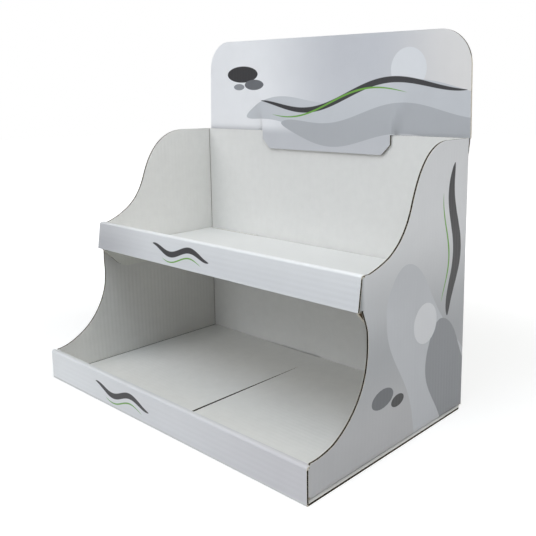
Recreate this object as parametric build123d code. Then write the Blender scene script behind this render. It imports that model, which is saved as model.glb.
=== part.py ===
from build123d import *
import os
from math import radians, tan

# A two-tier counter display stand folded from white-lined corrugated board.
# Millimetres, +X to the right, +Y to the back, +Z up. While a piece is being made, y is
# measured from the front face of the lip, and each piece is centred as it is written.

# Board
board = 2.8            # thickness, liner to liner
fold_inner = 0.4       # radius inside a crease
fold_straight = 1.0    # flat board kept past a crease
clearance = 0.2        # air between two layers that lie together
end_play = 0.4         # air at the ends of a panel that sits between the side walls

# Walls
stand_width = 480.0    # over the side walls
stand_depth = 295.0    # front face of the lip to the outside of the back wall
wall_height = 340.0
wall_top_flat = 54.0   # straight top edge of a side wall, in front of the back corner

# Base and lip
base_overhang = 1.8    # base beyond each side wall
base_ease_length = 11.0
base_ease_depth = 6.0  # how far the base's sides draw in beside its rear crease
lip_height = 41.5
lip_flap_length = 75.0
glue_flap_height = 45.0
glue_flap_slope = 25.0
slit_offset = 3.0      # joint of the two floor flaps, right of the middle
slit_front = 2.6
slit_back = 0.5

# Shelf
deck_height = 176.0    # top of the deck
fascia_front = 85.3    # front edge of the fascia's top fold
fascia_rise = 36.0     # top of the fascia above the deck
fascia_drop = 38.0
fascia_lean = 8.0      # degrees that the fascia springs out at its lower edge
fascia_flap_length = 60.0
deck_flap_drop = 34.5
deck_flap_toe = 1.8    # gap from the fascia's back to the toe of a deck flap
deck_flap_corner = 12.0
deck_flap_back_gap = 24.0
rear_flap_width = 254.0
rear_flap_drop = 30.0

# Sweeps cut in the side walls
lower_sweep_hollow = 4.5   # deepest point of the lower sweep behind the fascia's fold
lower_sweep_head = 38.9    # from that point up to the fascia
step_run = 10.2        # short level step of the wall behind the fascia's top
step_drop = 1.2
crown_pull = 42.8      # handle of the upper sweep at the top edge
waist_pull_run = 10.7  # handle through the middle of the upper sweep
waist_pull_rise = 31.0
foot_pull_run = 42.8   # handle of the upper sweep at the step
foot_pull_rise = 12.9

# Header card
header_rise = 131.0    # above the back wall's top edge
header_corner = 37.0
header_shift = 1.8     # card's middle, right of the middle of the stand
leg_width = 60.0       # two legs hang behind the back wall
leg_drop = 22.0
leg_inset = 1.2
leg_taper = 2.0        # how far a leg's outer edge draws in at its lower end
tongue_width = 236.0
tongue_offset = 9.0    # tongue's middle, right of the middle of the stand
tongue_drop = 26.5
tongue_chamfer = 13.0
tongue_round = 4.0
tongue_cut = 0.4       # die cut on each side of the tongue
bend_start = 2.0       # bend of the tongue above the wall's top edge
bend_height = 16.0
bend_root = 4.0        # flat part of the bend below the card
bend_radius = 5.3

# Worked-out values
fold_mid = fold_inner + board / 2
fold_room = fold_inner + board + fold_straight
layer = board + clearance

wall_half = stand_width / 2
inner_half = wall_half - board
panel_half = inner_half - end_play
base_half = wall_half + base_overhang
wall_mid = wall_half - board / 2
back_inner = stand_depth - board

floor_low = layer
floor_top = floor_low + board
floor_front = layer + fold_room
floor_back = back_inner - end_play
lip_inner_mid = 2 * layer + board / 2
lip_inner_back = 2 * layer + board

fascia_inner_mid = fascia_front + 2 * layer + board / 2
fascia_inner_back = fascia_front + 2 * layer + board
fascia_fold = fascia_front + layer
step_front = fascia_fold + fold_room
fascia_top = deck_height + fascia_rise
fascia_low = fascia_top - fascia_drop
fascia_toe = fascia_front - fascia_drop * tan(radians(fascia_lean))
deck_low = deck_height - board
deck_mid = deck_height - board / 2
deck_join = fascia_inner_back + fold_room
deck_half = inner_half - clearance

overall_depth = stand_depth + layer
centred = Pos(0, -overall_depth / 2, 0)


def creased(points):
    """Section of a board folded along the centre-line points, with rounded creases."""
    return trace(FilletPolyline(*points, radius=fold_mid), board)


def across(section, half_width):
    """A (y, z) section carried across the stand, both ways from its middle."""
    return extrude(Plane.YZ * section, half_width, both=True)


def front_to_back(section, y_front, y_back):
    """An (x, z) section carried from y_front to y_back."""
    return Pos(0, y_back, 0) * extrude(Plane.XZ * section, y_back - y_front)


def upright(section, z_low, z_high):
    """An (x, y) section carried from z_low to z_high."""
    return Pos(0, 0, z_low) * extrude(section, z_high - z_low)


def block(x_range, y_range, z_range):
    """A plain block between three pairs of limits, used to trim."""
    spans = (x_range, y_range, z_range)
    size = [high - low for low, high in spans]
    middle = [(high + low) / 2 for low, high in spans]
    return Pos(*middle) * Box(*size)


def both_sides(solid):
    """A solid and its mirror image on the other side of the stand."""
    return [solid, mirror(solid, Plane.YZ)]


def side_outline():
    """Side wall as seen from the side: C-shaped sweep below the shelf, S-shaped sweep above it."""
    flap_low = fascia_low + clearance
    step_z = fascia_top - step_drop
    step_back = fascia_fold + step_run
    sweep_low = lip_height - clearance
    sweep_mid = flap_low - lower_sweep_head
    sweep_back = fascia_fold + lower_sweep_hollow
    top_front = stand_depth - wall_top_flat
    waist = Vector((step_back + top_front) / 2, (step_z + wall_height) / 2)
    steep = Vector(waist_pull_run, waist_pull_rise)
    edges = [
        Polyline(
            (lip_inner_back, sweep_low),
            (floor_front, sweep_low),
            (floor_front, floor_low + fold_room),
            (floor_back, floor_low + fold_room),
            (floor_back, floor_low),
            (stand_depth, floor_low),
            (stand_depth, wall_height),
            (top_front, wall_height),
        ),
        Bezier(
            (top_front, wall_height),
            (top_front - crown_pull, wall_height),
            waist + steep,
            waist,
        ),
        Bezier(
            waist,
            waist - steep,
            (step_back + foot_pull_run, step_z + foot_pull_rise),
            (step_back, step_z),
        ),
        Polyline(
            (step_back, step_z),
            (step_front, step_z),
            (step_front, flap_low),
            (fascia_fold, flap_low),
        ),
        TangentArc((sweep_back, sweep_mid), (fascia_fold, flap_low), tangent=(0, 1)),
        EllipticalCenterArc(
            (lip_inner_back, sweep_mid),
            sweep_back - lip_inner_back,
            sweep_mid - sweep_low,
            start_angle=-90,
            arc_size=90,
        ),
    ]
    return make_face(edges)


def front_flap(fold_y, length, z_low, z_high):
    """Flap turned in from a side wall's front edge, its face at fold_y."""
    flap_mid = fold_y + board / 2
    section = creased([
        (wall_mid, fold_y + fold_room),
        (wall_mid, flap_mid),
        (wall_half - length, flap_mid),
    ])
    return upright(section, z_low, z_high)


def make_back_and_sides():
    """Back wall, side walls, the two floor flaps and the flaps that the roll-overs trap."""
    plan = creased([
        (-wall_mid, layer),
        (-wall_mid, stand_depth - board / 2),
        (wall_mid, stand_depth - board / 2),
        (wall_mid, layer),
    ])
    walls = upright(plan, floor_low, wall_height) & across(side_outline(), wall_half)
    floor_section = creased([
        (-wall_mid, floor_low + fold_room),
        (-wall_mid, floor_low + board / 2),
        (wall_mid, floor_low + board / 2),
        (wall_mid, floor_low + fold_room),
    ])
    slit = make_face(Polyline(
        (slit_offset - slit_front / 2, floor_front),
        (slit_offset + slit_front / 2, floor_front),
        (slit_offset + slit_back / 2, floor_back),
        (slit_offset - slit_back / 2, floor_back),
        close=True,
    ))
    floor = front_to_back(floor_section, floor_front, floor_back) - upright(slit, 0, floor_top)
    lip_flap = front_flap(layer, lip_flap_length, floor_low + fold_room, lip_height - layer)
    shelf_flap = front_flap(
        fascia_fold, fascia_flap_length, fascia_low + clearance, fascia_top - layer
    )
    return walls + [floor, *both_sides(lip_flap), *both_sides(shelf_flap)]


def make_base_tray():
    """Base under the floor flaps, with the roll-over lip in front and a glue flap behind."""
    rear_mid = stand_depth + clearance + board / 2
    tray = across(
        creased([
            (rear_mid, glue_flap_height),
            (rear_mid, board / 2),
            (board / 2, board / 2),
            (board / 2, lip_height - board / 2),
            (lip_inner_mid, lip_height - board / 2),
            (lip_inner_mid, floor_top + clearance),
        ]),
        base_half,
    )
    roll_end = extrude(
        Plane.YZ.offset(panel_half) * make_face(Polyline(
            (board + clearance / 2, floor_low),
            (board + clearance / 2, lip_height - board - clearance / 2),
            (floor_front - clearance, lip_height - board - clearance / 2),
            (floor_front - clearance, lip_height),
            (lip_inner_back, lip_height),
            (lip_inner_back, floor_low),
            close=True,
        )),
        base_half - panel_half,
    )
    flap_root = base_half - base_ease_depth
    ease = upright(
        make_face(Polyline(
            (base_half, stand_depth - base_ease_length),
            (base_half, overall_depth),
            (flap_root, overall_depth),
            (flap_root, stand_depth),
            close=True,
        )),
        0,
        glue_flap_height,
    )
    flap_end = front_to_back(
        make_face(Polyline(
            (flap_root, fold_room),
            (flap_root, glue_flap_height),
            (flap_root - glue_flap_slope, glue_flap_height),
            close=True,
        )),
        stand_depth,
        overall_depth,
    )
    trims = [both_sides(piece) for piece in (roll_end, ease, flap_end)]
    return tray - [piece for pair in trims for piece in pair]


def deck_flap_outline():
    """What is kept of the deck and its side flaps, seen from the side."""
    toe_y = fascia_toe + board + deck_flap_toe
    flap_low = deck_height - deck_flap_drop
    flap_top = deck_height - fold_room
    flap_back = back_inner - deck_flap_back_gap
    slant_end = toe_y + flap_top - flap_low
    flap = Polyline(
        (deck_join, deck_height),
        (deck_join, flap_top),
        (toe_y, flap_top),
        (slant_end, flap_low),
        (flap_back, flap_low),
        (flap_back, deck_height),
        close=True,
    )
    face = make_face(flap)
    rounded = [
        corner
        for corner in face.vertices()
        if abs(corner.Y - flap_low) < clearance
    ]
    return fillet(rounded, deck_flap_corner)


def make_shelf():
    """Deck with a roll-over fascia in front and flaps folded down at its sides and back."""
    fascia = across(
        creased([
            (deck_join, deck_mid),
            (fascia_inner_mid, deck_mid),
            (fascia_inner_mid, fascia_top - board / 2),
            (fascia_front + board / 2, fascia_top - board / 2),
            (fascia_toe + board / 2, fascia_low),
        ]),
        wall_half,
    )
    roll_end = extrude(
        Plane.YZ.offset(panel_half) * make_face(Polyline(
            (fascia_front + board + clearance / 2, fascia_top - board - clearance / 2),
            (step_front - clearance, fascia_top - board - clearance / 2),
            (step_front - clearance, fascia_top),
            (deck_join, fascia_top),
            (deck_join, deck_low),
            (fascia_toe + board + clearance / 2, deck_low),
            close=True,
        )),
        wall_half - panel_half,
    )
    deck_section = creased([
        (-deck_half + board / 2, deck_height - deck_flap_drop),
        (-deck_half + board / 2, deck_mid),
        (deck_half - board / 2, deck_mid),
        (deck_half - board / 2, deck_height - deck_flap_drop),
    ])
    flap_back = back_inner - deck_flap_back_gap
    deck = front_to_back(deck_section, fascia_toe, flap_back)
    deck = deck & across(deck_flap_outline(), wall_half)
    rear_mid = back_inner - clearance - board / 2
    rear_join = back_inner - fold_room - clearance
    rear_deck = block((-panel_half, panel_half), (flap_back, rear_join), (deck_low, deck_height))
    rear_edge = block(
        (rear_flap_width / 2, panel_half), (rear_join, floor_back), (deck_low, deck_height)
    )
    rear_flap = across(
        creased([
            (rear_join, deck_mid),
            (rear_mid, deck_mid),
            (rear_mid, deck_height - rear_flap_drop),
        ]),
        rear_flap_width / 2,
    )
    return fascia - both_sides(roll_end) + [deck, rear_deck, rear_flap, *both_sides(rear_edge)]


def make_header_card():
    """Flat card with two legs behind the back wall and a tongue bent over its top edge to the front."""
    card_mid = stand_depth + clearance + board / 2
    tongue_mid = back_inner - clearance - board / 2
    top = wall_height + header_rise
    bend_top = wall_height + bend_start + bend_height
    leg_low = wall_height - leg_drop
    tongue_left = tongue_offset - tongue_width / 2
    tongue_right = tongue_offset + tongue_width / 2
    left, right = header_shift - wall_half, header_shift + wall_half
    panel = make_face(Polyline(
        (left, wall_height),
        (left, top),
        (right, top),
        (right, wall_height),
        close=True,
    ))
    panel = fillet(panel.vertices().group_by(Axis.Y)[-1], header_corner)
    leg = make_face(Polyline(
        (right - leg_inset - leg_width, leg_low),
        (right - leg_inset - leg_width, wall_height),
        (right - leg_inset, wall_height),
        (right - leg_inset - leg_taper, leg_low),
        close=True,
    ))
    far_leg = Pos(2 * header_shift, 0) * mirror(leg, Plane.YZ)
    window = make_face(Polyline(
        (tongue_left - tongue_cut, wall_height),
        (tongue_left - tongue_cut, bend_top),
        (tongue_right + tongue_cut, bend_top),
        (tongue_right + tongue_cut, wall_height),
        close=True,
    ))
    card = front_to_back(panel + [leg, far_leg] - window, stand_depth + clearance, overall_depth)
    bend = trace(
        FilletPolyline(
            (card_mid, bend_top),
            (card_mid, bend_top - bend_root),
            (tongue_mid, wall_height + bend_start),
            (tongue_mid, wall_height - tongue_drop),
            radius=bend_radius,
        ),
        board,
    )
    strip = extrude(Plane.YZ.offset(tongue_left) * bend, tongue_width)
    corner = make_face(Polyline(
        (tongue_left, wall_height - tongue_drop),
        (tongue_left, bend_top),
        (tongue_right, bend_top),
        (tongue_right, wall_height - tongue_drop),
        close=True,
    ))
    lower = corner.vertices().group_by(Axis.Y)[0]
    corner = chamfer(lower, tongue_chamfer)
    corner = fillet(corner.vertices().group_by(Axis.Y)[0], tongue_round)
    tongue = strip & front_to_back(corner, 0, overall_depth)
    return card + tongue


pieces = {
    "back_and_sides": make_back_and_sides(),
    "base_tray": make_base_tray(),
    "shelf": make_shelf(),
    "header_card": make_header_card(),
}

os.makedirs("parts", exist_ok=True)
for name, piece in pieces.items():
    placed = centred * piece
    export_step(placed, f"parts/{name}.step")
    size = placed.bounding_box().size
    print(f"{name}: {len(placed.solids())} solid, {placed.volume / 1000:.1f} cm3, "
          f"{size.X:.1f} x {size.Y:.1f} x {size.Z:.1f} mm")
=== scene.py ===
# %% [markdown]
# # A two-tier counter display stand
# The real stand is four blanks of white-lined corrugated board: the back wall with its two side walls, a
# base with a rolled-over lip, a shelf with a rolled-over fascia, and a header card hooked over the back
# wall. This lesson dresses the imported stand: it rebuilds each blank as the board really is, two paper
# liners on a wavy fluting, so that every cut edge shows its true section. First the frame is loaded and
# its box is kept.

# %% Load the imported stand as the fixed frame
from math import cos, radians, sin
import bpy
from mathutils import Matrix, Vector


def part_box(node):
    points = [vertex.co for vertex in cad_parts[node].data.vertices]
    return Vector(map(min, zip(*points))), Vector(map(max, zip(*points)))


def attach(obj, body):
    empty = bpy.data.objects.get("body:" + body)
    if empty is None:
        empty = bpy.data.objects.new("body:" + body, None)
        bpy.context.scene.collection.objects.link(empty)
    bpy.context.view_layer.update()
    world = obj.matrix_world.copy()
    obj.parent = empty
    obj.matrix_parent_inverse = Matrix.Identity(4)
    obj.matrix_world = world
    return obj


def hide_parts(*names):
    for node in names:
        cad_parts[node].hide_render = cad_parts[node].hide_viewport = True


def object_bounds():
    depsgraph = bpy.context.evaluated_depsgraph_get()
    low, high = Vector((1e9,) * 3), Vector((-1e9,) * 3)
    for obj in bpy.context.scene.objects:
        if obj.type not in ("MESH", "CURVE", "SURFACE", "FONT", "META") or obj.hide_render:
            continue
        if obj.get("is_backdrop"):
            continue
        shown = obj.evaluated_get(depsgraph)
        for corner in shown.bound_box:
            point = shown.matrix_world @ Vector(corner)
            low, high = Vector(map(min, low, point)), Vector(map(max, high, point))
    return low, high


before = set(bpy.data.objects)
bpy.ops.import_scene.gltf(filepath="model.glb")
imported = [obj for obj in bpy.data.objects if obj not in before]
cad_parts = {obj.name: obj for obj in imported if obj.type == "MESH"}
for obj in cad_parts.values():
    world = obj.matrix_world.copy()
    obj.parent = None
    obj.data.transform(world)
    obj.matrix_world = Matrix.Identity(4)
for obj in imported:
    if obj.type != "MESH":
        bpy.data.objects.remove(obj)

from types import SimpleNamespace

import bpy
import numpy as np
from mathutils import Matrix, Vector

cad_box = [list(corner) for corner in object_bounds()]
print("nodes:", sorted(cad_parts), "box:", cad_box)

# %% [markdown]
# ## Sizes
# Work in millimetres, with y measured from the lip's front face, as a carton maker would. Sizes could be
# typed in again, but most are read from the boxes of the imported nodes, so that the dressing follows the
# pack. The few that a box can't show are named here or where they are first used.

# %% Sizes from the frame
MM = 0.001
lip_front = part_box("base_tray")[0].y / MM


def node_box(name):
    """Lowest and highest corner of a node, in millimetres, y measured from the lip's front face."""
    return np.array(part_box(name)) / MM - [0, lip_front, 0]


walls_box = node_box("back_and_sides")
tray_box = node_box("base_tray")
shelf_box = node_box("shelf")
header_box = node_box("header_card")

board = 2.8             # thickness
crease = 1.8            # radius of a fold at the middle of the board
crease_flat = 4.2       # board that a fold needs, from the far face of the next panel
layer = walls_box[0, 2]  # from one board to the next in a stack
clearance = layer - board
end_play = 0.4          # gap at each end that lets a panel drop in

wall_half, stand_depth, wall_height = walls_box[1]
wall_mid = wall_half - board / 2
back_inner = stand_depth - board
panel_half = wall_half - board - end_play
base_half, _, glue_flap_height = tray_box[1]
lip_height = 41.5
fascia_drop = 38.0      # height of the fascia's front
fascia_top = shelf_box[1, 2]
fascia_low = fascia_top - fascia_drop
print(f"walls {2 * wall_half:.0f} x {stand_depth:.0f} x {wall_height:.0f} mm, layers {layer:.1f} mm apart")

# %% [markdown]
# ## Camera
# The photograph is a crop from a larger frame, so its optical axis lies right of and above the middle of
# the picture. A camera could be placed by eye. Here the angles and the distance come from matching the
# stand's corners, and a small lens shift puts the axis where it was.

# %% Camera at the photograph's viewing angle
PICTURE = 536.0                    # pixels along each side
FOCAL_PIXELS = 697.3
AXIS_PIXEL = (320.0, 215.0)        # where the optical axis meets the picture
SENSOR = 36.0                      # millimetres
CAMERA_AT = (657.6, -451.9, 388.3)
CAMERA_TURN, CAMERA_RISE, CAMERA_ROLL = (radians(a) for a in (41.327, 9.547, -0.236))


def camera_axes(turn, rise, roll):
    """Right, up and back directions of a camera turned about z, raised, then rolled about its own axis."""
    back = Vector((sin(turn) * cos(rise), -cos(turn) * cos(rise), sin(rise)))
    level = Vector((cos(turn), sin(turn), 0))
    upright = back.cross(level)
    right = level * cos(roll) + upright * sin(roll)
    return right, back.cross(right), back


lens = bpy.data.cameras.new("camera")
lens.sensor_width = SENSOR
lens.lens = FOCAL_PIXELS / PICTURE * SENSOR
lens.shift_x = (PICTURE / 2 - AXIS_PIXEL[0]) / PICTURE
lens.shift_y = (AXIS_PIXEL[1] - PICTURE / 2) / PICTURE
camera = bpy.data.objects.new("camera", lens)
stand_at = Vector((CAMERA_AT[0], CAMERA_AT[1] + lip_front, CAMERA_AT[2])) * MM
turned = Matrix(camera_axes(CAMERA_TURN, CAMERA_RISE, CAMERA_ROLL)).transposed().to_4x4()
camera.matrix_world = Matrix.Translation(stand_at) @ turned
bpy.context.scene.collection.objects.link(camera)
bpy.context.scene.camera = camera
print(f"lens {lens.lens:.1f} mm, shift {lens.shift_x:.3f} {lens.shift_y:.3f}")

# %% [markdown]
# ## Colours and nodes
# Every colour is written as an sRGB hex value, the way a designer names it, and one function turns it to
# the linear numbers that shaders use. A node takes a line to add and another for each setting and link,
# so one more small function does all of that at once.

# %% Colour and node helpers
def paint(code):
    """Linear RGBA of an sRGB hex code.

    A channel c becomes c / 12.92 up to 0.04045, and ((c + 0.055) / 1.055) to the power 2.4 above that.
    """
    values = np.array([int(code[i:i + 2], 16) for i in (1, 3, 5)]) / 255
    linear = np.where(values <= 0.04045, values / 12.92, ((values + 0.055) / 1.055) ** 2.4)
    return (*linear.tolist(), 1.0)


def node(tree, kind, links=None, **settings):
    """Adds a node of a kind: links maps a socket to a value or to another node's output."""
    made = tree.nodes.new("ShaderNode" + kind)
    for name, value in settings.items():
        setattr(made, name, value)
    for socket, value in (links or {}).items():
        if isinstance(value, bpy.types.NodeSocket):
            tree.links.new(value, made.inputs[socket])
        else:
            made.inputs[socket].default_value = value
    return made


def blank_material(name):
    """An empty node material and its tree."""
    material = bpy.data.materials.new(name)
    material.use_nodes = True
    material.node_tree.nodes.clear()
    return material, material.node_tree


print("middle grey #808080 in linear light:", round(paint("#808080")[0], 3))

# %% [markdown]
# ## Studio
# The stand was taken on white, under a large soft light from above and the left, so the fronts are a
# little dimmer than the tops, the right side is dimmer still, and the lower tier lies in shade. The floor
# is white paper. Under light this mild it would render grey, so for the camera it glows as well: partly
# near the stand, where the shadow has to show, and fully further out.

# %% Floor
FLOOR_SIZE = 12.0       # metres along each side
FLOOR_GLOW = 0.62       # glow near the stand, where 1 is white
FADE = (0.42, 1.1)      # metres from the stand's middle over which the glow grows to full white


def floor_paper():
    """Matt white paper that glows for camera, mirror and glass rays, more so away from the stand."""
    material, tree = blank_material("studio_floor_paper")
    place = node(tree, "TexCoord").outputs["Object"]
    away = node(tree, "VectorMath", {0: place}, operation="LENGTH").outputs["Value"]
    glow = node(tree, "MapRange", {
        "Value": away, "From Min": FADE[0], "From Max": FADE[1], "To Min": FLOOR_GLOW, "To Max": 1.0,
    }, interpolation_type="SMOOTHSTEP").outputs[0]
    ray = node(tree, "LightPath").outputs
    seen = node(tree, "Math", {
        0: ray["Is Camera Ray"], 1: ray["Is Glossy Ray"],
    }, operation="MAXIMUM").outputs[0]
    seen = node(tree, "Math", {0: seen, 1: ray["Is Transmission Ray"]}, operation="MAXIMUM").outputs[0]
    light = node(tree, "Math", {0: seen, 1: glow}, operation="MULTIPLY").outputs[0]
    matt = node(tree, "BsdfDiffuse", {"Color": paint("#C4C4C4")})
    bright = node(tree, "Emission", {"Strength": light})
    both = node(tree, "AddShader", {0: matt.outputs[0], 1: bright.outputs[0]})
    node(tree, "OutputMaterial", {"Surface": both.outputs[0]})
    return material


def make_floor():
    """A flat square under the stand."""
    half = FLOOR_SIZE / 2
    corners = [(-half, -half, 0), (half, -half, 0), (half, half, 0), (-half, half, 0)]
    mesh = bpy.data.meshes.new("floor")
    mesh.from_pydata(corners, [], [(0, 1, 2, 3)])
    mesh.materials.append(floor_paper())
    floor = bpy.data.objects.new("floor", mesh)
    bpy.context.scene.collection.objects.link(floor)
    floor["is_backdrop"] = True


make_floor()
print(f"floor: {FLOOR_SIZE:.0f} m square, white from {FADE[1]} m away")

# %% [markdown]
# ## Lamps
# Large square lamps give soft shadows, as the light boxes of a studio do. Bright surroundings alone would
# be simpler, but they would light all sides alike. Six lamps shade each side of the stand as in the
# photograph, and the surroundings are white to the eye and add very little light.

# %% Lamps and surroundings
WORLD_LIGHT = 0.02
LAMPS = {
    # name: (place in metres, point it looks at, side in metres, watts, colour)
    "key": ((-1.6, -1.9, 2.3), (0.0, 0.0, 0.15), 1.8, 28.0, "#FFFDFD"),
    "front": ((-0.5, -2.6, 1.3), (0.0, 0.0, 0.15), 1.4, 20.4, "#F4F9FF"),
    "top": ((0.2, -0.1, 2.4), (0.0, 0.0, 0.1), 1.6, 12.0, "#FFFEF2"),
    "top_front": ((0.0, -1.1, 2.2), (0.0, 0.0, 0.15), 1.2, 9.8, "#E6F3FF"),
    "tiers": ((0.9, -0.4, 1.3), (0.0, 0.0, 0.2), 0.9, 6.2, "#F2F9FF"),
    "side": ((2.2, 0.6, 1.7), (0.0, 0.0, 0.15), 1.4, 22.8, "#FFFDFB"),
}


def make_lamp(name, place, target, side, watts, colour):
    """A square soft light that looks at a point."""
    data = bpy.data.lights.new(name, "AREA")
    data.size = side
    data.energy = watts
    data.color = paint(colour)[:3]
    lamp = bpy.data.objects.new(name, data)
    lamp.location = place
    lamp.rotation_euler = (Vector(target) - Vector(place)).to_track_quat("-Z", "Y").to_euler()
    bpy.context.scene.collection.objects.link(lamp)


def make_world(level):
    """White surroundings: seen as white, and lighting the stand at a lower level."""
    world = bpy.data.worlds.new("light_tent")
    bpy.context.scene.world = world
    world.use_nodes = True
    tree = world.node_tree
    tree.nodes.clear()
    seen = node(tree, "LightPath").outputs["Is Camera Ray"]
    strength = node(tree, "MapRange", {"Value": seen, "To Min": level, "To Max": 1.0}).outputs[0]
    sky = node(tree, "Background", {"Color": (1, 1, 1, 1), "Strength": strength})
    node(tree, "OutputWorld", {"Surface": sky.outputs[0]})


for lamp_name, lamp_facts in LAMPS.items():
    make_lamp(lamp_name, *lamp_facts)
make_world(WORLD_LIGHT)
bpy.context.scene.view_settings.view_transform = "Standard"
print("lamps:", {lamp_name: lamp_facts[3] for lamp_name, lamp_facts in LAMPS.items()}, "watts")

# %% [markdown]
# ## Papers
# Six plain papers make the board, and the printed ones come after them. Inside, an uncoated white liner:
# matt, faintly clouded where the pulp lies thicker, fibrous close up. Under the shelf, a whiter one.
# Outside, a clay-coated white liner: more neutral and smoother, with a soft sheen. Cut edges show the liners'
# cream middles, and between them the brown fluting. Deep in the hollows the fluting is painted near black, as
# painted shade, because little light gets in there. A scanned sheet would need an image. Two noises are enough
# instead: one at the size of the pulp's clouds, one for the fibres. Real fibres are some hundredths of a
# millimetre wide, so their relief is drawn coarser, at about half a millimetre, to show in a close view.

# %% Paper
PAPER_IOR = 1.5          # of both cellulose and clay
FIBRE_HEIGHT = 0.05      # relief of the fibres, in millimetres
CLOUD_RANGE = 0.3, 0.7   # where nearly all values of the noise lie


def paper(name, colour, roughness, cloud, fibre, spread):
    """Paper: a colour clouded by uneven pulp, with a relief of fibres, both sizes in millimetres.

    The clouds darken the colour by up to the spread. The colour is a hex code, or a function that adds the
    nodes of a print and gives their output.
    """
    material, tree = blank_material(name)
    place = node(tree, "TexCoord").outputs["Object"]
    pulp = node(tree, "TexNoise", {"Vector": place, "Scale": 1 / (cloud * MM), "Detail": 6.0}).outputs[0]
    fibres = node(tree, "TexNoise", {"Vector": place, "Scale": 1 / (fibre * MM), "Detail": 2.0}).outputs[0]
    mottle = node(tree, "MapRange", {
        "Value": pulp, "From Min": CLOUD_RANGE[0], "From Max": CLOUD_RANGE[1],
        "To Min": 1 - spread, "To Max": 1.0,
    }).outputs[0]
    ground = colour(tree, place) if callable(colour) else paint(colour)
    shade = node(tree, "Mix", {
        0: 1.0, 6: ground, 7: mottle,
    }, data_type="RGBA", blend_type="MULTIPLY").outputs[2]
    relief = node(tree, "Bump", {
        "Strength": 0.2, "Distance": FIBRE_HEIGHT * MM, "Height": fibres,
    }).outputs[0]
    sheet = node(tree, "BsdfPrincipled", {
        "Base Color": shade, "Roughness": roughness, "IOR": PAPER_IOR, "Normal": relief,
    })
    node(tree, "OutputMaterial", {"Surface": sheet.outputs[0]})
    return material


# Uncoated white-top liner: matt, cloudy, faintly warm
white_liner = paper("uncoated_white_liner", "#E5E4E1", 0.85, cloud=12.0, fibre=0.8, spread=0.035)
# Clay-coated white liner: a more neutral white, smooth enough for a soft sheen
coated_liner = paper("clay_coated_liner", "#DEDEDD", 0.5, cloud=25.0, fibre=0.5, spread=0.015)
# White liner of the shelf's underside: a shade whiter than that of the walls
under_liner = paper("uncoated_underside_liner", "#EAEAE4", 0.85, cloud=12.0, fibre=0.8, spread=0.04)
# Cut edge of a liner: bleached pulp, cream beside the white faces
cut_liner = paper("cut_liner_edge", "#E8E1D2", 0.9, cloud=5.0, fibre=0.4, spread=0.12)
# Cut edge of the fluting: brown recycled pulp
cut_fluting = paper("cut_fluting_edge", "#6E5B43", 0.9, cloud=4.0, fibre=0.4, spread=0.25)
# Fluting in the depth of the hollows: the brown of the fluting darkened to near black, painted shade where
# hardly any light gets in
fluting_in_painted_shade = paper("fluting_painted_in_shade", "#1E1813", 0.9, cloud=6.0, fibre=0.4, spread=0.25)
plain_papers = white_liner, coated_liner, under_liner, cut_liner, cut_fluting, fluting_in_painted_shade
print("papers:", [made.name for made in plain_papers])

# %% [markdown]
# ## Print
# The coated faces carry one pale design: a field that passes from one grey to another, and on it waves,
# discs and pebbles. A picture would need an image. These are formulas: each shape has a middle line that
# may swing like a sine wave, and a half width that tapers to both ends like an ellipse. With no swing the
# same formula gives a disc.

# %% Shapes and washes of ink
INK_SOFT = 0.45          # millimetres over which an edge of ink fades


def shape_mask(tree, along, across, middle, level, reach, half, slope=0.0, swing=0.0, span=1.0, phase=0.0):
    """1 inside a printed shape and 0 outside.

    With t measured along from the shape's middle, its middle line is
    level + slope t + swing sin(2 pi t / span + phase),
    and its half width is half times the root of 1 - (t / reach) squared.
    """
    t = node(tree, "Math", {0: along, 1: middle}, operation="SUBTRACT").outputs[0]
    turn = node(tree, "Math", {0: t, 1: 2 * np.pi / span, 2: phase}, operation="MULTIPLY_ADD").outputs[0]
    wave = node(tree, "Math", {0: turn}, operation="SINE").outputs[0]
    line = node(tree, "Math", {0: wave, 1: swing, 2: level}, operation="MULTIPLY_ADD").outputs[0]
    line = node(tree, "Math", {0: t, 1: slope, 2: line}, operation="MULTIPLY_ADD").outputs[0]
    off = node(tree, "Math", {0: across, 1: line}, operation="SUBTRACT").outputs[0]
    off = node(tree, "Math", {0: off}, operation="ABSOLUTE").outputs[0]
    square = node(tree, "Math", {0: t, 1: t}, operation="MULTIPLY").outputs[0]
    taper = node(tree, "Math", {0: square, 1: -1 / reach ** 2, 2: 1.0}, operation="MULTIPLY_ADD").outputs[0]
    taper = node(tree, "Math", {0: taper}, operation="SQRT").outputs[0]
    edge = node(tree, "Math", {0: taper, 1: half}, operation="MULTIPLY").outputs[0]
    inside = node(tree, "Math", {0: edge, 1: off}, operation="SUBTRACT").outputs[0]
    return node(tree, "MapRange", {"Value": inside, "From Min": 0.0, "From Max": INK_SOFT}).outputs[0]


def printed(along, across, ground, washes, shapes):
    """A print as a function for paper(): a ground, then washes, then shapes, in the stand's millimetres.

    A wash blends a colour in along an axis, from a start to an end, up to a share.
    """
    def colour(tree, place):
        stand_place = node(tree, "Mapping", {
            "Vector": place, "Location": (0, -lip_front, 0), "Scale": (1 / MM,) * 3,
        }).outputs[0]
        axis = node(tree, "SeparateXYZ", {0: stand_place}).outputs
        ink = paint(ground)
        for name, start, end, code, most in washes:
            share = node(tree, "MapRange", {
                "Value": axis[name], "From Min": start, "From Max": end, "To Max": most,
            }, interpolation_type="SMOOTHSTEP").outputs[0]
            ink = node(tree, "Mix", {0: share, 6: ink, 7: paint(code)}, data_type="RGBA").outputs[2]
        for code, facts in shapes:
            mask = shape_mask(tree, axis[along], axis[across], **facts)
            ink = node(tree, "Mix", {0: mask, 6: ink, 7: paint(code)}, data_type="RGBA").outputs[2]
        return ink
    return colour


print("an edge of ink fades over", INK_SOFT, "mm")
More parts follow.
